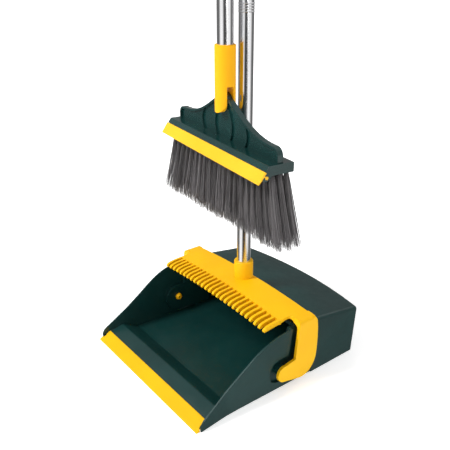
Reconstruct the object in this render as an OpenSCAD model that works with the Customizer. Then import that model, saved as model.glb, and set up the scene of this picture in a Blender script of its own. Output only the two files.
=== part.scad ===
/* [Dustpan] */
// Width over the side walls at floor level
pan_w = 276; // [272:1:278]
// Width of the covered bin at the back
bin_w = 281; // [279:1:290]
// Distance from the pole's axis back to the middle of the bin's rear wall
bin_rear = 136; // [126:1:146]
// How far the bin's rear wall bows out between its corners
bin_bow = 15; // [8:1:20]
// Height of the bin's roof at its front edge
bin_h = 98; // [96:0.5:99]
// Height of the bin's roof at its rear corners
bin_h_rear = 83; // [70:1:90]
// Thickness of the moulded walls
wall_t = 2.4; // [1.8:0.1:2.6]
// Outward lean of the side walls, in degrees
wall_lean = 2.3; // [0:0.1:2.6]
// Thickness of the flat floor
floor_t = 2.8; // [2:0.1:3.4]
// Distance from the pole's axis forward to the tip of the lip
lip_front = 197; // [193:1:204]
// Width of the soft lip
lip_w = 283; // [278:1:284]

/* [Bail and comb] */
// Width over the two arms
bail_w = 299; // [298:0.5:304]
// Height of the bridge's top face, before its crown is added
bail_top = 115; // [113:0.5:118]
// Number of teeth in the comb
tooth_n = 26; // [20:2:26]
// Spacing of the teeth
tooth_pitch = 10.1; // [9.8:0.1:10.1]
// Thickness of one tooth
tooth_t = 4.2; // [3.6:0.1:5.4]
// Thickness of the two arms
arm_t = 4.5; // [4:0.1:5.5]
// Distance of the fold pins in front of the pole's axis
pin_y = 43; // [41:0.5:44]
// Height of the fold pins
pin_z = 34; // [32:0.5:36]
// Radius of the fold pins
pin_r = 5; // [4:0.25:5.5]

/* [Poles] */
// Radius of the dustpan's pole
pole_r = 11; // [10.5:0.1:11.2]
// Radius of the brush's pole
stick_r = 11.7; // [11:0.1:12]
// Wall thickness of the steel tubes
tube_t = 0.7; // [0.5:0.1:1]
// Distance between the two poles in the clip
pole_gap = 33.5; // [33:0.5:36]
// Turn of the clip and the brush about the dustpan's pole
clip_turn = -7.5; // [-20:0.5:0]
// Height where the dustpan's two tubes meet
pan_joint_z = 541; // [530:1:560]
// Height of the top of the dustpan's upper tube
pan_tube_top = 862; // [840:1:900]
// Height where the brush's two tubes meet
stick_joint_z = 861; // [850:1:880]
// Height of the top of the brush's upper tube
stick_tube_top = 1190; // [1150:1:1230]
// Height of the middle of the clip
clip_z = 705; // [660:1:720]

/* [Brush head] */
// Half the length of the brush block
block_l = 142; // [139:0.5:144]
// Height of the top of the block
block_top = 355; // [353:0.5:356]
// Height of the underside of the block
block_bot = 341.5; // [340.5:0.5:342]
// Height of the swivel screw
swivel_z = 407; // [405:0.5:409]
// Number of tufts in one row
tuft_n = 20; // [16:1:20]
// Spacing of the tufts along a row
tuft_pitch = 14.3; // [13:0.1:14.4]
// Height of the bristle ends under the middle of the block
bristle_end = 236; // [232:1:255]

/* [Hidden] */
$fn = 64;

green = [0.10, 0.19, 0.19];
yellow = [1.0, 0.72, 0.05];
lemon = [1.0, 0.86, 0.12];
steel = [0.78, 0.78, 0.80];
grey = [0.36, 0.34, 0.35];
black = [0.08, 0.08, 0.08];

hw = pan_w / 2;
bw = bin_w / 2;
pocket_x = hw - 4.3;
bow_r = (bw * bw + bin_bow * bin_bow) / (2 * bin_bow);
corner_r = 6;

// point and slope helpers
function roof_z(y) = bin_h - max(0, y - 16) * (bin_h - bin_h_rear) / (bin_rear - bin_bow - 16);
function bow_y(x) = bin_rear - bow_r + sqrt(bow_r * bow_r - x * x);
function bez(a, b, c, d, t) = a * pow(1 - t, 3) + 3 * b * t * pow(1 - t, 2) + 3 * c * t * t * (1 - t) + d * pow(t, 3);
function arc(cx, cy, r, a0, a1, n) = [for (i = [0 : n]) [cx + r * cos(a0 + (a1 - a0) * i / n), cy + r * sin(a0 + (a1 - a0) * i / n)]];

// draws a (y, z) outline and runs it along X from x0 to x1
module along_x(x0, x1) { translate([x0, 0, 0]) rotate([90, 0, 90]) linear_extrude(x1 - x0) children(); }
// places a thing where the brush hangs, its axis on the brush's pole
module parked() { rotate([0, 0, clip_turn]) translate([0, -pole_gap, 0]) children(); }
module both_sides() { children(); mirror([1, 0, 0]) children(); }
module ring_z(r0, r1, z0, z1) { translate([0, 0, z0]) difference() { cylinder(r = r1, h = z1 - z0); translate([0, 0, -1]) cylinder(r = r0, h = z1 - z0 + 2); } }

// ---------- dustpan ----------
// the bin's solid form, shrunk by d on every side
module bin_form(d) {
    r = corner_r - d;
    hull() {
        for (i = [-4 : 4]) let (x = i / 4 * (bw - corner_r), y = bow_y(x) - corner_r)
            translate([x, y, roof_z(y + corner_r) + 2.2 * (1 - pow(i / 4, 2)) - corner_r]) sphere(r = r, $fn = 32);
        for (s = [-1, 1]) {
            translate([s * (bw - corner_r), 16, bin_h - corner_r]) sphere(r = r, $fn = 32);
            translate([s * (bw - corner_r), -40, bin_h - corner_r]) sphere(r = r, $fn = 32);
            translate([s * (bw - corner_r), -40, d > 0 ? floor_t : 0]) cylinder(r = r, h = 1, $fn = 32);
        }
        for (i = [-4 : 4]) let (x = i / 4 * (bw - corner_r - 2.5), y = bow_y(x) - corner_r - 3)
            translate([x, y, d > 0 ? floor_t : 0]) cylinder(r = r, h = 1, $fn = 32);
    }
}
// side wall outline, (y, z): a long slope that rolls over into the top
wall_top = concat([[-189.4, 0], [-190, 8], [-187, 13.5]],
    [for (i = [0 : 12]) let (t = i / 12) [bez(-184, -160, -125, -100, t), bez(16.5, 32, 55, 73, t)]],
    [for (i = [1 : 12]) let (t = i / 12) [bez(-100, -76, -52, -16, t), bez(73, 90, 98, bin_h, t)]]);
module wall_outline() { polygon(concat(wall_top, [[23, bin_h], [23, 0]])); }
// pocket beside the arm, (y, z); g grows it
module pocket_outline(g) {
    polygon([[22.5, 8 - g], [22.5, 130], [-19 - g, 130], [-27 - g, 53 + g], [-48, 53 + g], [-57 - g * 0.7, 49 + g * 0.7],
             [-63 - g, 39 + g * 0.4], [-63 - g, 28], [-59 - g * 0.7, 18 - g * 0.7], [-50, 13 - g], [-10, 8 - g]]);
}
// plan band of the side wall: straight along the bin, flaring out at the front
module wall_plan() {
    polygon([[hw - wall_t, 23], [hw, 23], [hw, -120], [hw + 0.6, -144], [hw + 5.4, -190], [hw + 3.0, -190], [hw - 1.8, -144], [hw - wall_t, -120]]);
}
module lean() { translate([hw, 0, 0]) rotate([0, wall_lean, 0]) translate([-hw, 0, 0]) children(); }
module side_wall() {
    difference() {
        intersection() {
            lean() translate([0, 0, -3]) linear_extrude(140) wall_plan();
            along_x(hw - 10, hw + 12) wall_outline();
        }
        along_x(hw - 12, hw + 14) pocket_outline(0);
    }
    // inner liner of the pocket and its rim
    difference() {
        intersection() {
            along_x(pocket_x - wall_t, hw + 5) intersection() { pocket_outline(wall_t); wall_outline(); }
            translate([0, -70, 0]) cube([200, 92.6, bin_h]);
        }
        along_x(pocket_x, hw + 9) pocket_outline(0);
        lean() translate([hw, -100, -20]) cube([30, 200, 200]);
    }
    // boss that carries the fold pin
    translate([pocket_x - 0.5, -pin_y, pin_z]) rotate([0, 90, 0]) cylinder(r = pin_r + 4, h = bail_w / 2 - arm_t - 0.6 - pocket_x);
}
// tray floor with the ramp and the tongue that carries the lip, (y, z)
module tray_outline() {
    polygon([[-40, 0], [-40, floor_t], [-127, floor_t], [-129, 3.4], [-151.5, 15.4], [-153.6, 16.1], [-156, 16.2], [-178.2, 10.0], [-191.2, 2.75], [-190.3, 1.1],
             [-177.6, 8.1], [-156, 13.9], [-153.6, 13.6], [-152, 12.8], [-130, 1.0], [-128, 0]]);
}
module pan_body() {
    color(green) difference() {
        union() {
            difference() {
                intersection() { bin_form(0); translate([-200, -10, 0]) cube([400, 200, 200]); }
                both_sides() translate([pocket_x, -50, -1]) cube([60, 72.5, 200]);
                difference() {
                    bin_form(wall_t);
                    both_sides() translate([pocket_x - wall_t, -60, -1]) cube([60, 82.5 + wall_t, 200]);
                }
            }
            along_x(-hw + 0.5, hw - 0.5) tray_outline();
            translate([-pocket_x, -41, 0]) cube([2 * pocket_x, 45, floor_t]);
            both_sides() side_wall();
            // roof's front edge is stiffened by a shallow lip
            translate([-pocket_x + 1, -12, bin_h - 6]) cube([2 * pocket_x - 2, 2.4, 6]);
            // two guide ribs on the inside of the rear wall
            for (x = [-62, 62]) translate([x - 1, bow_y(x), floor_t - 0.2]) rotate([-2.1, 0, 0]) translate([0, -5.8 - wall_t, 0]) cube([2, 4, 60]);
        }
        // bores for the fold pins
        both_sides() translate([pocket_x - 10, -pin_y, pin_z]) rotate([0, 90, 0]) cylinder(r = pin_r + 0.06, h = 30);
        // front corners of the tray are cut back for the lip's ends
        translate([-200, -230, -1]) cube([400, 38.5, 60]);
    }
}
// lip: wedge-shaped soft blade with a slot that takes the tray's tongue
module lip_blade() {
    a = 29.1;
    color(lemon) difference() {
        along_x(-lip_w / 2, lip_w / 2) difference() {
            polygon([[-lip_front, 0], [-lip_front + 0.4, 1.0], [-178.6, 11.3], [-177.4, 11.2], [-176.9, 10.45], [-177.9, 10.13], [-191.35, 2.95],
                     [-190.2, 0.85], [-178.4, 7.2], [-178.0, 6.4], [-187.5, 0]]);
        }
        // the ends are trimmed to sit in front of the side walls
        both_sides() translate([hw - 0.3, -188.8, -1]) cube([20, 40, 8.4]);
        both_sides() translate([hw + 0.6, -190.6, -1]) cube([20, 40, 40]);
    }
}
// ---------- bail ----------
bail_y0 = 12.5;
bail_yf = -8;
shoulder_r = 7.5;
flat_x = bail_w / 2 - shoulder_r;
// height of the bridge's crowned top at x
function crown(x) = bail_top + 3.5 - 6.5 * pow(x / flat_x, 2);
// the comb's outer edge
half_comb = (tooth_n - 1) / 2 * tooth_pitch + tooth_t / 2;
// one tooth, (y, z): a deep blade with a rounded nose and a beak that points down
module tooth() {
    polygon(concat([[-24, bail_top - 4.7], [-24, bail_top - 1.7], [-34.4, bail_top - 1.5], [-37, bail_top - 1.4]],
        [for (i = [0 : 10]) let (t = i / 10) [bez(-46, -56, -65.6, -66.8, t), bez(bail_top - 1.9, bail_top - 2.5, bail_top - 3.6, bail_top - 8.4, t)]],
        [[-66.3, bail_top - 10.3], [-65.2, bail_top - 11], [-63.6, bail_top - 10.7], [-50, bail_top - 9.2], [-38, bail_top - 8.2], [-30, bail_top - 6.4]]));
}
// side view of an arm with its foot, (y, z): one flowing outline
module arm_side() {
    polygon(concat([[bail_y0, 122], [-14.2, 122], [-16.2, 100], [-17.6, 88], [-20, 65], [-21, 51.2]], arc(-24, 50.8, 3, 0, -85, 6), [[-36, 45.9]],
        arc(-41.8, 31.8, 13.2, 80, 255, 18), [[-31, 16], [-12, 11.5]],
        [for (i = [0 : 10]) let (t = i / 10) [bez(-10, 4, 17, 20.8, t), bez(11.3, 9.6, 20, 38, t)]],
        [[22, 50], [22.6, 70], [22, 88], [20.5, 101], [bail_y0, 115.5]]));
}
// front view of bridge and arms, an inverted U with a crowned top, extruded along Y
module arch() {
    r = shoulder_r;
    ri = 8;
    xi = bail_w / 2 - arm_t;
    outer = concat([for (i = [-16 : 16]) [i / 16 * flat_x, crown(i / 16 * flat_x)]], arc(flat_x, crown(flat_x) - r, r, 84, 0, 8), [[bail_w / 2, 0], [xi, 0]],
        arc(xi - ri, 95.5, ri, 0, 90, 6), [[129, crown(129) - 4.4]]);
    inner = [for (i = [15 : -1 : -15]) [i * 8.4, crown(i * 8.4) - 4.2]];
    left = concat([[-129, crown(129) - 4.4]], arc(ri - xi, 95.5, ri, 90, 180, 6), [[-xi, 0], [-bail_w / 2, 0]], arc(-flat_x, crown(flat_x) - r, r, 180, 96, 8));
    rotate([90, 0, 0]) translate([0, 0, -40]) linear_extrude(120) polygon(concat(outer, inner, left));
}
// plan of the bridge's front part, with the round inner corners beside the comb
module front_plan() {
    e = half_comb;
    polygon(concat([[-e, -37], [e, -37], [e, -21]], arc(e + 6, -21, 6, 180, 90, 6), [[e + 7, -15], [e + 7, bail_yf + 0.02], [-e - 7, bail_yf + 0.02], [-e - 7, -15]], arc(-e - 6, -21, 6, 90, 0, 6)));
}
module comb_bail() {
    ax = bail_w / 2 - arm_t;
    color(yellow) difference() {
        union() {
            // arms, feet, rounded shoulders and the rear part of the bridge
            intersection() {
                arch();
                union() {
                    both_sides() along_x(half_comb + 6.6, bail_w / 2 + 1) arm_side();
                    along_x(-half_comb - 9, half_comb + 9) polygon([[bail_y0, 100], [bail_y0, 121], [bail_yf, 121], [bail_yf, 100]]);
                }
            }
            // front part of the bridge slopes down towards the comb
            intersection() {
                translate([0, bail_yf, bail_top + 3.5]) rotate([3, 0, 0]) translate([0, -bail_yf, -bail_top - 3.5]) arch();
                translate([0, 0, 90]) linear_extrude(40) front_plan();
            }
            // stiffening rib at the roots of the teeth
            rotate([90, 0, 0]) translate([0, 0, 34]) linear_extrude(3) polygon(concat([for (i = [-13 : 13]) [i * half_comb / 13, crown(i * 10) - 3.4]], [for (i = [13 : -1 : -13]) [i * half_comb / 13, crown(i * 10) - 8.6]]));
            // stiffening rib under the rear edge, which rests on the roof
            along_x(-pocket_x + 6, pocket_x - 6) polygon([[bail_y0 - 0.2, bin_h + 0.4], [bail_y0 - 0.2, 110.5], [bail_y0 - 2.6, 110.5], [bail_y0 - 2.6, bin_h + 0.4]]);
            for (i = [0 : tooth_n - 1]) let (x = (i - (tooth_n - 1) / 2) * tooth_pitch) translate([0, 0, crown(x) - bail_top]) along_x(x - tooth_t / 2, x + tooth_t / 2) tooth();
            // socket for the pole
            translate([0, 0, bail_top - 2.5]) cylinder(r = 15.3, h = 32.8);
            translate([0, 0, bail_top + 30.3]) cylinder(r1 = 15.3, r2 = 14.6, h = 1.2);
            // fold pins with split snap heads
            both_sides() translate([0, -pin_y, pin_z]) rotate([0, 90, 0]) {
                translate([0, 0, pocket_x - wall_t - 0.4]) cylinder(r = pin_r, h = ax - pocket_x + wall_t + 1.4);
                translate([0, 0, pocket_x - wall_t - 5.9]) cylinder(r1 = pin_r - 1.2, r2 = pin_r + 1.1, h = 3.6);
                translate([0, 0, pocket_x - wall_t - 2.3]) cylinder(r = pin_r + 1.1, h = 1.9);
            }
        }
        // pole socket bore, blind
        translate([0, 0, 118.2]) cylinder(r = pole_r + 0.05, h = 60);
        // slots that split the snap heads
        both_sides() translate([pocket_x - wall_t - 7, -pin_y - 10, pin_z - 0.8]) cube([9, 20, 1.6]);
    }
}
// ---------- dustpan pole ----------
module tube(r, t, z0, z1) { ring_z(r - t, r, z0, z1); }
module bead(r, z) { translate([0, 0, z]) rotate_extrude() translate([r - 0.5, 0]) circle(r = 1.05, $fn = 24); }
module pan_tube_lower() {
    color(steel) difference() {
        union() {
            tube(pole_r, tube_t, 118.4, pan_joint_z);
            for (i = [0 : 3]) bead(pole_r, pan_joint_z - 4.5 - 3.5 * i);
        }
        translate([0, 0, pan_joint_z - 20]) cylinder(r = pole_r - tube_t, h = 30);
    }
}
module pan_tube_upper() {
    r1 = pole_r - tube_t - 0.05;
    color(steel) difference() {
        union() {
            translate([0, 0, pan_joint_z - 26]) cylinder(r = r1, h = 27);
            translate([0, 0, pan_joint_z + 0.2]) cylinder(r1 = r1, r2 = pole_r - 0.3, h = 4);
            translate([0, 0, pan_joint_z + 4.2]) cylinder(r = pole_r - 0.3, h = pan_tube_top - pan_joint_z - 4.2);
        }
        translate([0, 0, pan_joint_z - 30]) cylinder(r = r1 - tube_t, h = pan_tube_top - pan_joint_z + 40);
    }
}
module pan_pole_plug() {
    color(black) difference() {
        union() { translate([0, 0, 118.6]) cylinder(r = pole_r - tube_t - 0.05, h = 22); }
        translate([0, 0, 121]) cylinder(r = 6.5, h = 30);
    }
}
// grip sleeve: a soft tube with a flared collar and shallow finger waists
module grip_shape(r_in, z0, z1) {
    h = z1 - z0;
    translate([0, 0, z0]) rotate_extrude() polygon(concat([[r_in, 0], [r_in + 2.6, 0], [r_in + 3.4, 1.2], [r_in + 3.4, 4], [r_in + 2.2, 7]],
        [for (i = [0 : 24]) let (t = i / 24) [r_in + 2.1 + 0.8 * sin(180 * t) - 0.35 * cos(360 * 4 * t), 9 + (h - 16) * t]],
        [[r_in + 2.4, h - 5], [r_in + 2.9, h - 3.5], [r_in + 2.9, h - 1], [r_in + 2.2, h], [r_in, h]]));
}
module pan_grip() { color(green) grip_shape(pole_r - 0.25, pan_tube_top - 104, pan_tube_top - 0.2); }
// hanging cap: a plug in the tube's end with a flat eye above it
module hang_cap(r_tube, r_top, z, w) {
    difference() {
        union() {
            translate([0, 0, z - 18]) cylinder(r = r_tube, h = 19);
            translate([0, 0, z + 0.02]) cylinder(r1 = r_top, r2 = r_top - 0.6, h = 3.1);
            translate([0, 0, z + 3]) cylinder(r1 = r_top - 0.6, r2 = 7, h = 5);
            translate([0, w / 2, z + 18]) rotate([90, 0, 0]) cylinder(r = 11, h = w);
            translate([-9, -w / 2, z + 2]) cube([18, w, 12]);
        }
        translate([0, 20, z + 18]) rotate([90, 0, 0]) cylinder(r = 6, h = 40);
        translate([0, 0, z - 20]) cylinder(r = r_tube - 2, h = 15);
    }
}
module pan_hang_cap() { color(yellow) hang_cap(pole_r - 2 * tube_t - 0.1, 12.4, pan_tube_top, 8); }
// ---------- clip ----------
module pole_clip() {
    color(yellow) rotate([0, 0, clip_turn]) translate([0, 0, clip_z - 14]) difference() {
        union() {
            cylinder(r = pole_r + 3.1, h = 28);
            translate([0, -pole_gap, 0]) cylinder(r = stick_r + 2.9, h = 28);
            translate([-6, -pole_gap + stick_r + 1.2, 0]) cube([12, pole_gap - stick_r - pole_r, 28]);
            // lead-in lips of the open jaw
            for (s = [-1, 1]) translate([s * 11.2, -pole_gap - 8.9, 0]) cylinder(r = 2, h = 28);
        }
        translate([0, 0, -1]) cylinder(r = pole_r - 0.3 + 0.05, h = 30);
        translate([0, -pole_gap, -1]) cylinder(r = stick_r + 0.05, h = 30);
        // mouth of the jaw
        translate([-8.6, -pole_gap - 40, -1]) cube([17.2, 36, 30]);
        // the jaw is waisted between its two bands
        translate([-30, -pole_gap - 30, 10]) cube([60, 30 + 2, 8]);
    }
}
// ---------- brush ----------
module stick_plug() { color(black) parked() difference() { translate([0, 0, 437.2]) cylinder(r = stick_r - tube_t - 0.05, h = 22); translate([0, 0, 440]) cylinder(r = 7, h = 30); } }
module stick_tube_lower() {
    color(steel) parked() difference() {
        union() {
            tube(stick_r, tube_t, 437, stick_joint_z);
            for (i = [0 : 3]) bead(stick_r, stick_joint_z - 4.5 - 3.5 * i);
        }
        translate([0, 0, stick_joint_z - 20]) cylinder(r = stick_r - tube_t, h = 30);
    }
}
module stick_tube_upper() {
    r1 = stick_r - tube_t - 0.05;
    color(steel) parked() difference() {
        union() {
            translate([0, 0, stick_joint_z - 26]) cylinder(r = r1, h = 27);
            translate([0, 0, stick_joint_z + 0.2]) cylinder(r1 = r1, r2 = stick_r - 0.3, h = 4);
            translate([0, 0, stick_joint_z + 4.2]) cylinder(r = stick_r - 0.3, h = stick_tube_top - stick_joint_z - 4.2);
        }
        translate([0, 0, stick_joint_z - 30]) cylinder(r = r1 - tube_t, h = stick_tube_top - stick_joint_z + 40);
    }
}
module stick_grip() { color(green) parked() grip_shape(stick_r - 0.25, stick_tube_top - 114, stick_tube_top - 0.2); }
module stick_hang_cap() { color(yellow) parked() hang_cap(stick_r - 2 * tube_t - 0.1, 13.1, stick_tube_top, 8); }
module swivel_clevis() {
    color(yellow) parked() difference() {
        union() {
            translate([0, 0, swivel_z]) cylinder(r = 15, h = 77);
            translate([0, 0, swivel_z + 77]) cylinder(r1 = 15, r2 = 14.4, h = 1.2);
            // cheeks end in half rounds about the screw
            intersection() {
                translate([0, 0, swivel_z - 16]) cylinder(r = 15, h = 20);
                translate([0, 20, swivel_z]) rotate([90, 0, 0]) cylinder(r = 14.4, h = 40);
            }
        }
        // slot for the head's tongue
        translate([-20, -5.2, swivel_z - 20]) cube([40, 10.4, 42.2]);
        // bore for the pole, blind
        translate([0, 0, 436.8]) cylinder(r = stick_r + 0.05, h = 80);
        // screw hole from the rear cheek, blind in the front one
        translate([0, 30, swivel_z]) rotate([90, 0, 0]) cylinder(r = 3, h = 42);
        translate([0, 30, swivel_z]) rotate([90, 0, 0]) cylinder(r = 5, h = 18.4);
    }
}
module swivel_screw() {
    color(steel) parked() difference() {
        union() {
            translate([0, 14.2, swivel_z]) rotate([90, 0, 0]) cylinder(r = 4.8, h = 2.5);
            translate([0, 12, swivel_z]) rotate([90, 0, 0]) cylinder(r = 2.98, h = 23.8);
        }
        // cross recess
        for (a = [0, 90]) translate([0, 14.3, swivel_z]) rotate([90, a, 0]) translate([-2.6, -0.5, 0]) cube([5.2, 1, 1.6]);
    }
}
// edge of the fan from its round shoulder up to the neck, (x, z), moved inward by d
function unit(v) = v / norm(v);
function fan_edge(d) = concat(arc(127, block_top + 7.5, 12 - d, 0, 90, 8),
    [for (i = [1 : 20]) let (t = i / 20, v = unit([bez(127, 74, 44, 15, t) - bez(127, 74, 44, 15, t - 0.02), bez(block_top + 19.6, block_top + 18, block_top + 42, block_top + 57.5, t) - bez(block_top + 19.6, block_top + 18, block_top + 42, block_top + 57.5, t - 0.02)]))
        [bez(127, 74, 44, 15, t) - v[1] * d, bez(block_top + 19.6, block_top + 18, block_top + 42, block_top + 57.5, t) + v[0] * d]]);
module fan(d) {
    e = fan_edge(d);
    n = len(e);
    polygon(concat([[139 - d, block_top - 3]], e, [for (i = [n - 1 : -1 : 0]) [-e[i][0], e[i][1]]], [[d - 139, block_top - 3]]));
}
module fan_plate(d, t) { translate([0, t / 2, 0]) rotate([90, 0, 0]) linear_extrude(t) fan(d); }
// curved stiffening fin on the fan's face, drawn along a curve a-b-c-d in (x, z)
module fin(a, b, c, d) {
    w = 0.9;
    p = [for (i = [0 : 10]) let (t = i / 10) [bez(a[0], b[0], c[0], d[0], t), bez(a[1], b[1], c[1], d[1], t)]];
    translate([0, 3.9, 0]) rotate([90, 0, 0]) linear_extrude(7.8) polygon(concat([for (q = p) [q[0] - w, q[1]]], [for (i = [10 : -1 : 0]) [p[i][0] + w, p[i][1]]]));
}
// end view of the block with the rail that holds the squeegee, (y, z)
module block_end() {
    difference() {
        union() {
            polygon([[19.5, block_bot + 1], [18.5, block_bot], [-15, block_bot], [-15, block_top], [18.5, block_top], [19.5, block_top - 1]]);
            polygon([[-14, block_top], [-18.6, block_top], [-19.6, block_top - 0.6], [-24.4, 348.1], [-21.9, 346.4], [-28.1, 338.0], [-26.3, 335.6], [-22.6, 334.6], [-17.5, 337.4], [-14, block_bot]]);
        }
        // bead channel and the slot for the strip's stem
        translate([-22.1, 339.7]) circle(r = 2.55);
        translate([-22.1, 339.7]) rotate(143.7) translate([0, -0.95]) square([12, 1.9]);
    }
}
module along_block() { rotate([90, 0, 90]) translate([0, 0, -block_l]) linear_extrude(2 * block_l) children(); }
tuft_y = [-10.5, 0.5, 11.5];
module tuft_bores() {
    for (j = [0 : 2]) for (i = [0 : tuft_n - 1])
        translate([(i - (tuft_n - 1) / 2) * tuft_pitch, tuft_y[j], block_bot - 1]) cylinder(r = 2.7, h = 10, $fn = 24);
}
module brush_head() {
    color(green) parked() difference() {
        union() {
            along_block() block_end();
            fan_plate(0, 2.6);
            // raised rim of the fan
            difference() {
                fan_plate(0, 8.4);
                difference() {
                    fan_plate(3.4, 30);
                    translate([-200, -20, block_top - 4]) cube([400, 40, 4.2]);
                }
            }
            both_sides() fin([57, block_top - 1], [65, block_top + 9], [66, block_top + 21], [55.5, block_top + 33.5]);
            both_sides() fin([18, block_top - 1], [27, block_top + 14], [26, block_top + 32], [10, block_top + 47]);
            // round tongue
            translate([0, 5, swivel_z]) rotate([90, 0, 0]) cylinder(r = 12.6, h = 10);
        }
        translate([0, 20, swivel_z]) rotate([90, 0, 0]) cylinder(r = 3.05, h = 40);
        tuft_bores();
    }
}
// wire staples that pin each tuft in its hole
module tuft_anchors() {
    color(steel) parked() for (j = [0 : 2]) for (i = [0 : tuft_n - 1])
        translate([(i - (tuft_n - 1) / 2) * tuft_pitch - 2.4, tuft_y[j] - 0.25, block_bot + 6.9]) cube([4.8, 0.5, 1.9]);
}
// one row of bristles: a root in each hole and a closed skirt that spreads out below
module bristle_row(j, y_end) {
    color(grey) parked() {
        y = tuft_y[j];
        for (i = [0 : tuft_n - 1]) translate([(i - (tuft_n - 1) / 2) * tuft_pitch, y, block_bot - 0.6]) cylinder(r = 2.65, h = 7.4, $fn = 24);
        z0 = bristle_end;
        w0 = (tuft_n - 1) / 2 * tuft_pitch + 2.7;
        // four corners at the block and four at the bristle ends, lower at the left than at the right
        polyhedron(points = [[-w0, y - 3.6, block_bot - 0.1], [w0, y - 3.6, block_bot - 0.1], [w0, y + 3.6, block_bot - 0.1], [-w0, y + 3.6, block_bot - 0.1],
                [-w0 - 38, y_end - 3.9, z0 - 11], [w0 + 31, y_end - 3.9, z0 + 8], [w0 + 31, y_end + 3.9, z0 + 8], [-w0 - 38, y_end + 3.9, z0 - 11]],
            faces = [[0, 3, 2, 1], [4, 5, 6], [4, 6, 7], [0, 1, 5], [0, 5, 4], [1, 2, 6], [1, 6, 5], [2, 3, 6], [3, 7, 6], [3, 0, 4], [3, 4, 7]], convexity = 2);
    }
}
module bristles_front() { bristle_row(0, -15.2); }
module bristles_middle() { bristle_row(1, -1.5); }
module bristles_rear() { bristle_row(2, 12.2); }
// squeegee: flat blade, stem and bead
module squeegee_strip() {
    color(lemon) parked() intersection() {
        rotate([90, 0, 90]) translate([0, 0, -block_l - 2.5]) linear_extrude(2 * block_l + 2.5) translate([-22.1, 339.7]) rotate(143.7) {
            circle(r = 2.4);
            translate([0, -0.8]) square([5, 1.6]);
            translate([4.15, 0]) polygon([[0, -5.2], [2.2, -5.2], [2.4, 0], [1.9, 13.0], [1.0, 13.3], [0, 6]]);
        }
        translate([-200, -60, 300]) cube([400, 120, 100]);
    }
}

pan_body();
lip_blade();
comb_bail();
pan_pole_plug();
pan_tube_lower();
pan_tube_upper();
pan_grip();
pan_hang_cap();
pole_clip();
stick_plug();
stick_tube_lower();
stick_tube_upper();
stick_grip();
stick_hang_cap();
swivel_clevis();
swivel_screw();
brush_head();
tuft_anchors();
bristles_front();
bristles_middle();
bristles_rear();
squeegee_strip();
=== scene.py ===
import math
import random

import bmesh
import bpy
import numpy as np
from mathutils import Matrix, Vector


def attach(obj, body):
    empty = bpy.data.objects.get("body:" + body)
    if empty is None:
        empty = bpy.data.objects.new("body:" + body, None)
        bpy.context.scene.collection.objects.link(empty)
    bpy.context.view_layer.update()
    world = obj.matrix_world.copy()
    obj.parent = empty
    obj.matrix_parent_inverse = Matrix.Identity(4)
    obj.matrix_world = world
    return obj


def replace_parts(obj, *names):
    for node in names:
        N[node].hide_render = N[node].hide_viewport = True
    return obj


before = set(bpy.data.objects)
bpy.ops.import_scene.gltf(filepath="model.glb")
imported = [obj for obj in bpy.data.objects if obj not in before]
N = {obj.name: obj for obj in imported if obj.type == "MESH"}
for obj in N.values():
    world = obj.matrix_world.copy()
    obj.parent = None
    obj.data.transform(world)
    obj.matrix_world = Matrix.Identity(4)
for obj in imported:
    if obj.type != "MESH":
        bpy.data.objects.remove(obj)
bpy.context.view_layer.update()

scene = bpy.context.scene
mm = 0.001
YAW = math.radians(-7.5)
GAP = 33.5
BRUSH = Matrix.Rotation(YAW, 4, "Z") @ Matrix.Translation((0, -GAP * mm, 0))


# ------------------------------------------------------------------ helpers
def new_mat(name):
    m = bpy.data.materials.new(name)
    m.use_nodes = True
    nt = m.node_tree
    nt.nodes.clear()
    out = nt.nodes.new("ShaderNodeOutputMaterial")
    b = nt.nodes.new("ShaderNodeBsdfPrincipled")
    nt.links.new(b.outputs[0], out.inputs[0])
    return m, nt, b


def node(nt, kind, **inputs):
    n = nt.nodes.new(kind)
    for k, v in inputs.items():
        key = k.replace("_", " ")
        if key in n.inputs:
            n.inputs[key].default_value = v
        else:
            setattr(n, k, v)
    return n


def noise(nt, scale, detail=3.0, rough=0.5, vec=None, distortion=0.0):
    n = nt.nodes.new("ShaderNodeTexNoise")
    n.inputs["Scale"].default_value = scale
    n.inputs["Detail"].default_value = detail
    n.inputs["Roughness"].default_value = rough
    n.inputs["Distortion"].default_value = distortion
    if vec is not None:
        nt.links.new(vec, n.inputs["Vector"])
    return n


def ramp(nt, fac, stops):
    r = nt.nodes.new("ShaderNodeValToRGB")
    el = r.color_ramp.elements
    while len(el) > 1:
        el.remove(el[-1])
    el[0].position = stops[0][0]
    el[0].color = stops[0][1]
    for p, c in stops[1:]:
        e = el.new(p)
        e.color = c
    nt.links.new(fac, r.inputs[0])
    return r


def maprange(nt, fac, a, b, lo, hi):
    n = nt.nodes.new("ShaderNodeMapRange")
    n.inputs[1].default_value = a
    n.inputs[2].default_value = b
    n.inputs[3].default_value = lo
    n.inputs[4].default_value = hi
    nt.links.new(fac, n.inputs[0])
    return n.outputs[0]


def obj_coords(nt, scale=(1, 1, 1)):
    tc = nt.nodes.new("ShaderNodeTexCoord")
    mp = nt.nodes.new("ShaderNodeMapping")
    mp.inputs["Scale"].default_value = scale
    nt.links.new(tc.outputs["Object"], mp.inputs["Vector"])
    return mp.outputs["Vector"]


def bump(nt, height, strength, distance, normal=None):
    b = nt.nodes.new("ShaderNodeBump")
    b.inputs["Strength"].default_value = strength
    b.inputs["Distance"].default_value = distance
    nt.links.new(height, b.inputs["Height"])
    if normal is not None:
        nt.links.new(normal, b.inputs["Normal"])
    return b.outputs[0]


def col(c, a=1.0):
    return (c[0], c[1], c[2], a)


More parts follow.
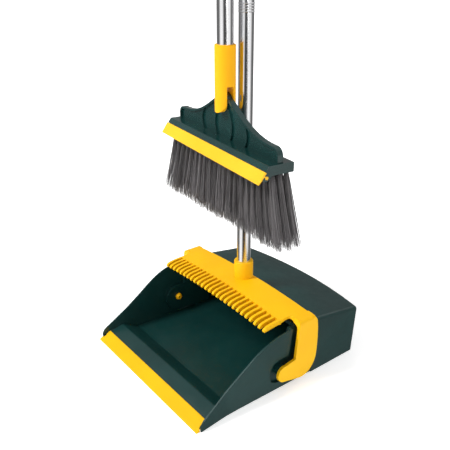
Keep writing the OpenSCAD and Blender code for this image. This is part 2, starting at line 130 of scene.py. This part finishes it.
def plastic(name, base, dark, light, rough=(0.3, 0.45), grain=0.05, sub=0.0, coat=0.0, spec=0.5, wear=None):
    """Moulded plastic: slow colour drift, fine spark-eroded grain, faint flow waviness, polish that varies, small scuffs."""
    m, nt, b = new_mat(name)
    v = obj_coords(nt)
    big = noise(nt, 9.0, 3.0, 0.55, v)
    fine = noise(nt, 900.0, 2.0, 0.6, v)
    mid = noise(nt, 60.0, 4.0, 0.6, v)
    c = ramp(nt, big.outputs[0], [(0.30, col(dark)), (0.52, col(base)), (0.74, col(light))])
    out = c.outputs[0]
    if wear is not None:
        # fine scuffs: stretched noise, thresholded, mixed in lightly
        sv = obj_coords(nt, (18.0, 210.0, 60.0))
        sc = noise(nt, 3.0, 6.0, 0.7, sv, 0.6)
        k = ramp(nt, sc.outputs[0], [(0.66, (0, 0, 0, 1)), (0.74, (1, 1, 1, 1))])
        mx = nt.nodes.new("ShaderNodeMix")
        mx.data_type = "RGBA"
        mk = nt.nodes.new("ShaderNodeMath")
        mk.operation = "MULTIPLY"
        mk.inputs[1].default_value = 0.25
        nt.links.new(k.outputs[0], mk.inputs[0])
        nt.links.new(mk.outputs[0], mx.inputs[0])
        nt.links.new(out, mx.inputs[6])
        mx.inputs[7].default_value = col(wear)
        out = mx.outputs[2]
    nt.links.new(out, b.inputs["Base Color"])
    r = maprange(nt, mid.outputs[0], 0.3, 0.7, rough[0], rough[1])
    nt.links.new(r, b.inputs["Roughness"])
    n1 = bump(nt, mid.outputs[0], 0.12, 0.0006)
    n2 = bump(nt, fine.outputs[0], grain, 0.0003, n1)
    nt.links.new(n2, b.inputs["Normal"])
    b.inputs["Specular IOR Level"].default_value = spec
    if sub:
        b.inputs["Subsurface Weight"].default_value = sub
        b.inputs["Subsurface Radius"].default_value = (1.0, 0.5, 0.1)
        b.inputs["Subsurface Scale"].default_value = 0.002
    if coat:
        b.inputs["Coat Weight"].default_value = coat
        b.inputs["Coat Roughness"].default_value = 0.25
    return m


def steel(name, base=(0.80, 0.80, 0.81), rough=(0.07, 0.16), axis="Z"):
    """Drawn tube: mirror polish with very fine lines round it and faint lengthwise draw marks."""
    m, nt, b = new_mat(name)
    b.inputs["Metallic"].default_value = 1.0
    v1 = obj_coords(nt, (40.0, 40.0, 2600.0))
    v2 = obj_coords(nt, (900.0, 900.0, 6.0))
    n1 = noise(nt, 1.0, 4.0, 0.6, v1)
    n2 = noise(nt, 1.0, 3.0, 0.6, v2)
    big = noise(nt, 14.0, 3.0, 0.6, obj_coords(nt))
    c = ramp(nt, big.outputs[0], [(0.3, col([x * 0.93 for x in base])), (0.7, col([min(1, x * 1.06) for x in base]))])
    nt.links.new(c.outputs[0], b.inputs["Base Color"])
    r = maprange(nt, n1.outputs[0], 0.3, 0.7, rough[0], rough[1])
    nt.links.new(r, b.inputs["Roughness"])
    tg = nt.nodes.new("ShaderNodeTangent")
    tg.direction_type = "RADIAL"
    tg.axis = "Z"
    nt.links.new(tg.outputs[0], b.inputs["Tangent"])
    b.inputs["Anisotropic"].default_value = 0.9
    b.inputs["Anisotropic Rotation"].default_value = 0.25
    h1 = bump(nt, n1.outputs[0], 0.02, 0.00005)
    h2 = bump(nt, n2.outputs[0], 0.02, 0.00005, h1)
    nt.links.new(h2, b.inputs["Normal"])
    return m


def bristle_mat():
    m, nt, b = new_mat("bristle_filament")
    at = nt.nodes.new("ShaderNodeAttribute")
    at.attribute_name = "tint"
    v = obj_coords(nt, (300.0, 300.0, 30.0))
    n = noise(nt, 1.0, 3.0, 0.6, v)
    mx = nt.nodes.new("ShaderNodeMath")
    mx.operation = "MULTIPLY_ADD"
    mx.inputs[1].default_value = 0.35
    nt.links.new(n.outputs[0], mx.inputs[0])
    nt.links.new(at.outputs["Fac"], mx.inputs[2])
    c = ramp(nt, mx.outputs[0], [(0.15, (0.030, 0.027, 0.028, 1)), (0.55, (0.140, 0.128, 0.132, 1)), (1.0, (0.31, 0.29, 0.295, 1))])
    nt.links.new(c.outputs[0], b.inputs["Base Color"])
    r = maprange(nt, n.outputs[0], 0.3, 0.7, 0.38, 0.58)
    nt.links.new(r, b.inputs["Roughness"])
    b.inputs["Sheen Weight"].default_value = 0.25
    b.inputs["Sheen Roughness"].default_value = 0.5
    return m


M_green = plastic("green_moulded", (0.0042, 0.034, 0.0315), (0.0030, 0.027, 0.025), (0.0060, 0.042, 0.039), (0.30, 0.46), grain=0.06, spec=0.43, wear=(0.030, 0.065, 0.062))
M_head = plastic("green_glossy", (0.0038, 0.029, 0.027), (0.0026, 0.022, 0.0205), (0.0056, 0.038, 0.0355), (0.15, 0.28), grain=0.04, coat=0.25, spec=0.48, wear=(0.030, 0.065, 0.062))
M_grip = plastic("grip_moulded", (0.0045, 0.030, 0.0275), (0.0035, 0.024, 0.022), (0.007, 0.040, 0.037), (0.5, 0.66), grain=0.12)
M_yellow = plastic("yellow_moulded", (0.90, 0.49, 0.0035), (0.87, 0.455, 0.0028), (0.93, 0.525, 0.0045), (0.40, 0.54), grain=0.04, sub=0.06, spec=0.17)
M_clevis = plastic("clevis_moulded", (0.84, 0.405, 0.0030), (0.81, 0.375, 0.0024), (0.87, 0.435, 0.0038), (0.44, 0.56), grain=0.04, sub=0.06, spec=0.15)
M_lip = plastic("lip_soft", (0.80, 0.45, 0.0030), (0.77, 0.42, 0.0025), (0.83, 0.48, 0.0040), (0.50, 0.62), grain=0.05, sub=0.08, spec=0.12)
M_squeegee = plastic("squeegee_soft", (0.86, 0.455, 0.015), (0.83, 0.43, 0.011), (0.89, 0.49, 0.020), (0.36, 0.50), grain=0.04, sub=0.08, spec=0.25)
M_plug = plastic("plug_black", (0.02, 0.02, 0.02), (0.015, 0.015, 0.015), (0.03, 0.03, 0.03), (0.5, 0.7))
M_steel = steel("tube_polished", (0.82, 0.82, 0.83), (0.13, 0.19))
M_screw = steel("screw_plated", (0.62, 0.61, 0.58), (0.22, 0.36))
M_bristle = bristle_mat()


def use(name, mat):
    o = N[name]
    o.data.materials.clear()
    o.data.materials.append(mat)


def soften(name, width, segs=2, angle=32.0, weld=0.002):
    """Rounds a CAD node's edges without touching its mesh: weld the split corners, bevel the sharp edges, shade smooth."""
    o = N[name]
    w = o.modifiers.new("weld", "WELD")
    w.merge_threshold = weld * mm
    b = o.modifiers.new("edge", "BEVEL")
    b.width = width * mm
    b.segments = segs
    b.limit_method = "ANGLE"
    b.angle_limit = math.radians(angle)
    b.use_clamp_overlap = True
    b.miter_outer = "MITER_ARC"
    n = o.modifiers.new("normals", "WEIGHTED_NORMAL")
    n.mode = "FACE_AREA"
    n.weight = 60
    n.thresh = 0.01
    n.keep_sharp = False
    for p in o.data.polygons:
        p.use_smooth = True


# ------------------------------------------------------------------ bristles
def bristles(name, j, seed, count=84):
    """One row of tufts: tapered filaments that leave round holes, fan out and end a little unevenly."""
    rnd = random.Random(seed)
    y0 = (-10.5, 0.5, 11.5)[j]
    y_end = (-15.4, -1.2, 12.4)[j]
    sides, segs = 4, 6
    verts, faces, tint = [], [], []
    n_t, pitch = 20, 14.3
    for i in range(n_t):
        x0 = (i - (n_t - 1) / 2) * pitch
        u = x0 / 136.0
        spread = (33.5 if u < 0 else 28.5) * abs(u) ** 1.5 * (1 if u > 0 else -1)
        tuft_shift = rnd.uniform(-1.0, 1.0)
        tuft_len = rnd.uniform(-2.0, 1.6)
        tuft_y = rnd.uniform(-0.8, 0.8)
        tuft_tint = rnd.uniform(-0.11, 0.11)
        edge = max(0.0, abs(u) - 0.82) / 0.18
        for k in range(count):
            rr = math.sqrt((k + 0.5) / count)
            an = k * 2.399963 + i
            cx, cy = rr * math.cos(an), rr * math.sin(an)
            xr, yr = x0 + 2.2 * cx, y0 + 2.2 * cy
            wide = 8.8 + 2.8 * edge
            ex = x0 + spread + tuft_shift + wide * cx * (1 + rnd.uniform(-0.18, 0.22)) + rnd.gauss(0, 0.8)
            ey = y_end + tuft_y + 6.3 * cy * (1 + rnd.uniform(-0.2, 0.15)) + rnd.gauss(0, 0.5)
            ey = max(-22.5, min(19.3, ey))
            ex = max(-175.3, min(168.3, ex))
            ez = 236.2 + 0.052 * ex + tuft_len + rnd.gauss(0, 1.7) + 3.0 * rr * rr
            if rnd.random() < 0.05:
                ez += rnd.uniform(2, 10)
            ax_, ay_ = x0 + spread + tuft_shift, y_end + tuft_y
            wob_a, wob_p = rnd.uniform(0.0, 0.9), rnd.uniform(0, 6.28)
            r0 = 0.34 * rnd.uniform(0.85, 1.2)
            top = 344.0
            base = len(verts)
            # filament tone: random per tuft and per filament, minus painted shade that darkens the filaments towards
            # each tuft's rim where the tufts meet; further down each filament also gets lighter towards its free end
            tone_with_painted_shade = 0.33 + tuft_tint - 0.24 * rr * rr + rnd.gauss(0, 0.15)
            for s in range(segs + 1):
                t = s / segs
                f = t ** 1.3
                gx = t ** (0.92 - 0.42 * edge)
                g = t ** 0.42
                z = top + (ez - top) * t
                x = xr + (ax_ - x0) * f + (ex - ax_ - xr + x0) * gx + wob_a * math.sin(wob_p + 5.0 * t) * t
                y = yr + (ay_ - y0) * f + (ey - ay_ - yr + y0) * g + 0.6 * wob_a * math.cos(wob_p + 4.0 * t) * t
                r = r0 * (1.0 if t < 0.7 else 1.0 - 2.0 * (t - 0.7))
                for q in range(sides):
                    a = 2 * math.pi * q / sides + k
                    verts.append((x + r * math.cos(a), y + r * math.sin(a), z))
                    tint.append(max(0.0, min(1.0, tone_with_painted_shade + 0.16 * t - 0.05)))
            for s in range(segs):
                for q in range(sides):
                    a0 = base + s * sides + q
                    a1 = base + s * sides + (q + 1) % sides
                    faces.append((a0, a0 + sides, a1 + sides, a1))
            faces.append(tuple(base + q for q in range(sides)))
            faces.append(tuple(base + segs * sides + q for q in reversed(range(sides))))
    me = bpy.data.meshes.new(name)
    co = np.array(verts) * mm
    me.from_pydata(co.tolist(), [], faces)
    at = me.attributes.new("tint", "FLOAT", "POINT")
    at.data.foreach_set("value", np.array(tint, np.float32))
    me.transform(BRUSH)
    for p in me.polygons:
        p.use_smooth = True
    me.materials.append(M_bristle)
    o = bpy.data.objects.new(name, me)
    scene.collection.objects.link(o)
    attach(o, "head")
    return o


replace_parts(bristles("filaments_front", 0, 11), "bristles_front")
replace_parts(bristles("filaments_middle", 1, 23), "bristles_middle")
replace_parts(bristles("filaments_rear", 2, 37), "bristles_rear")

# ------------------------------------------------------------------ CAD nodes
use("pan_body", M_green)
use("brush_head", M_head)
for n in ("pan_grip", "stick_grip"):
    use(n, M_grip)
for n in ("comb_bail", "pole_clip", "pan_hang_cap", "stick_hang_cap"):
    use(n, M_yellow)
use("swivel_clevis", M_clevis)
use("lip_blade", M_lip)
use("squeegee_strip", M_squeegee)
for n in ("pan_pole_plug", "stick_plug"):
    use(n, M_plug)
for n in ("pan_tube_lower", "pan_tube_upper", "stick_tube_lower", "stick_tube_upper"):
    use(n, M_steel)
use("swivel_screw", M_screw)
use("tuft_anchors", M_screw)

soften("pan_body", 0.45, 2, weld=0.1)
soften("comb_bail", 0.45, 2, weld=0.1)
soften("brush_head", 0.35, 2)
soften("swivel_clevis", 0.6, 2)
soften("lip_blade", 0.3, 2)
soften("squeegee_strip", 0.3, 2)
soften("pole_clip", 0.5, 2)
soften("pan_hang_cap", 0.6, 2)
soften("stick_hang_cap", 0.6, 2)
soften("pan_tube_lower", 0.15, 2)
soften("stick_tube_lower", 0.15, 2)

# ------------------------------------------------------------------ stage, light, camera
CAM = Vector((0.6840, -0.5633, 0.6051))
AZ, EL, ROLL = math.radians(52.46), math.radians(24.15), math.radians(-0.16)

me = bpy.data.meshes.new("floor")
R = 16.0
ring = [(R * math.cos(2 * math.pi * i / 96), R * math.sin(2 * math.pi * i / 96), 0.0) for i in range(96)]
me.from_pydata(ring, [], [tuple(range(96))])
floor = bpy.data.objects.new("floor", me)
scene.collection.objects.link(floor)
floor.location.z = -0.0004
fm, fnt, fb = new_mat("floor_paper_glow")
fv = obj_coords(fnt)
fn = noise(fnt, 3.0, 3.0, 0.5, fv)
fc = ramp(fnt, fn.outputs[0], [(0.3, (0.93, 0.93, 0.93, 1)), (0.7, (0.95, 0.95, 0.95, 1))])
fnt.links.new(fc.outputs[0], fb.inputs["Base Color"])
fb.inputs["Roughness"].default_value = 0.9
# the floor glows: emission rises from 0.5 near the object to 1.0 beyond 2.5 m, painted light that whitens the backdrop
# and lifts the cast shadow under the pan
fb.inputs["Emission Color"].default_value = (1, 1, 1, 1)
fd = fnt.nodes.new("ShaderNodeVectorMath")
fd.operation = "LENGTH"
fnt.links.new(fv, fd.inputs[0])
fnt.links.new(maprange(fnt, fd.outputs["Value"], 0.35, 2.5, 0.50, 1.0), fb.inputs["Emission Strength"])
fb.inputs["Specular IOR Level"].default_value = 0.1
me.materials.append(fm)
floor.visible_glossy = False

# studio: white surround; dark gaps either side give the polished tubes their stripes
world = bpy.data.worlds.new("studio")
scene.world = world
world.use_nodes = True
wt = world.node_tree
wt.nodes.clear()
wo = wt.nodes.new("ShaderNodeOutputWorld")
bg = wt.nodes.new("ShaderNodeBackground")
wt.links.new(bg.outputs[0], wo.inputs[0])
tc = wt.nodes.new("ShaderNodeTexCoord")
sep = wt.nodes.new("ShaderNodeSeparateXYZ")
rot = wt.nodes.new("ShaderNodeMapping")
rot.vector_type = "POINT"
# turn so that +X points from the object to the studio's dark front
rot.inputs["Rotation"].default_value = (0, 0, -(AZ - math.pi / 2))
wt.links.new(tc.outputs["Generated"], rot.inputs["Vector"])
wt.links.new(rot.outputs[0], sep.inputs[0])
at2 = wt.nodes.new("ShaderNodeMath")
at2.operation = "ARCTAN2"
wt.links.new(sep.outputs[1], at2.inputs[0])
wt.links.new(sep.outputs[0], at2.inputs[1])
ab = wt.nodes.new("ShaderNodeMath")
ab.operation = "ABSOLUTE"
wt.links.new(at2.outputs[0], ab.inputs[0])
dv = wt.nodes.new("ShaderNodeMath")
dv.operation = "DIVIDE"
dv.inputs[1].default_value = math.pi
wt.links.new(ab.outputs[0], dv.inputs[0])
g = lambda x: (x, x, x, 1)
low = ramp(wt, dv.outputs[0], [(0.0, g(0.035)), (0.11, g(0.05)), (0.17, g(0.80)), (0.21, g(1.0)), (0.36, g(1.0)), (0.42, g(0.55)), (0.50, g(0.14)), (0.70, g(0.13)), (0.82, g(0.39)), (1.0, g(0.43))])
mid = ramp(wt, dv.outputs[0], [(0.0, g(0.39)), (0.35, g(0.58)), (0.60, g(0.34)), (1.0, g(0.28))])
hz = maprange(wt, sep.outputs[2], -0.02, 0.12, 0.0, 1.0)
hz2 = maprange(wt, sep.outputs[2], 0.55, 0.85, 0.0, 1.0)
mixc = wt.nodes.new("ShaderNodeMix")
mixc.data_type = "RGBA"
wt.links.new(hz, mixc.inputs[0])
wt.links.new(low.outputs[0], mixc.inputs[6])
wt.links.new(mid.outputs[0], mixc.inputs[7])
mixt = wt.nodes.new("ShaderNodeMix")
mixt.data_type = "RGBA"
wt.links.new(hz2, mixt.inputs[0])
wt.links.new(mixc.outputs[2], mixt.inputs[6])
mixt.inputs[7].default_value = (0.56, 0.56, 0.56, 1)
wt.links.new(mixt.outputs[2], bg.inputs["Color"])
bg.inputs["Strength"].default_value = 1.10


def area(name, loc, target, size, power, colour=(1, 1, 1), spec=1.0):
    l = bpy.data.lights.new(name, "AREA")
    l.shape = "RECTANGLE"
    l.size, l.size_y = size
    l.energy = power
    l.color = colour
    l.specular_factor = spec
    o = bpy.data.objects.new(name, l)
    scene.collection.objects.link(o)
    o.location = loc
    o.rotation_mode = "QUATERNION"
    o.rotation_quaternion = (Vector(target) - Vector(loc)).to_track_quat("-Z", "Y")
    return o


area("key", (-0.75, -2.05, 2.45), (0, 0, 0.12), (0.8, 0.8), 86)
area("fill", (2.9, -0.8, 0.80), (0, 0, 0.15), (1.2, 0.8), 11)
area("back", (0.2, 2.6, 2.4), (0, 0, 0.3), (2.0, 1.2), 12)

cd = bpy.data.cameras.new("cam")
cam = bpy.data.objects.new("cam", cd)
scene.collection.objects.link(cam)
back = Vector((math.sin(AZ) * math.cos(EL), -math.cos(AZ) * math.cos(EL), math.sin(EL)))
right = Vector((math.cos(AZ), math.sin(AZ), 0))
up = back.cross(right)
rr = math.cos(ROLL) * right + math.sin(ROLL) * up
uu = -math.sin(ROLL) * right + math.cos(ROLL) * up
Rm = Matrix((rr, uu, back)).transposed()
cam.matrix_world = Matrix.Translation(CAM) @ Rm.to_4x4()
cd.sensor_width = 36.0
cd.sensor_fit = "HORIZONTAL"
cd.lens = 619.26 * 36.0 / 450.0
cd.clip_start, cd.clip_end = 0.01, 60
scene.camera = cam

scene.view_settings.view_transform = "Standard"
scene.view_settings.look = "None"
scene.view_settings.exposure = 0.0
scene.cycles.use_denoising = True
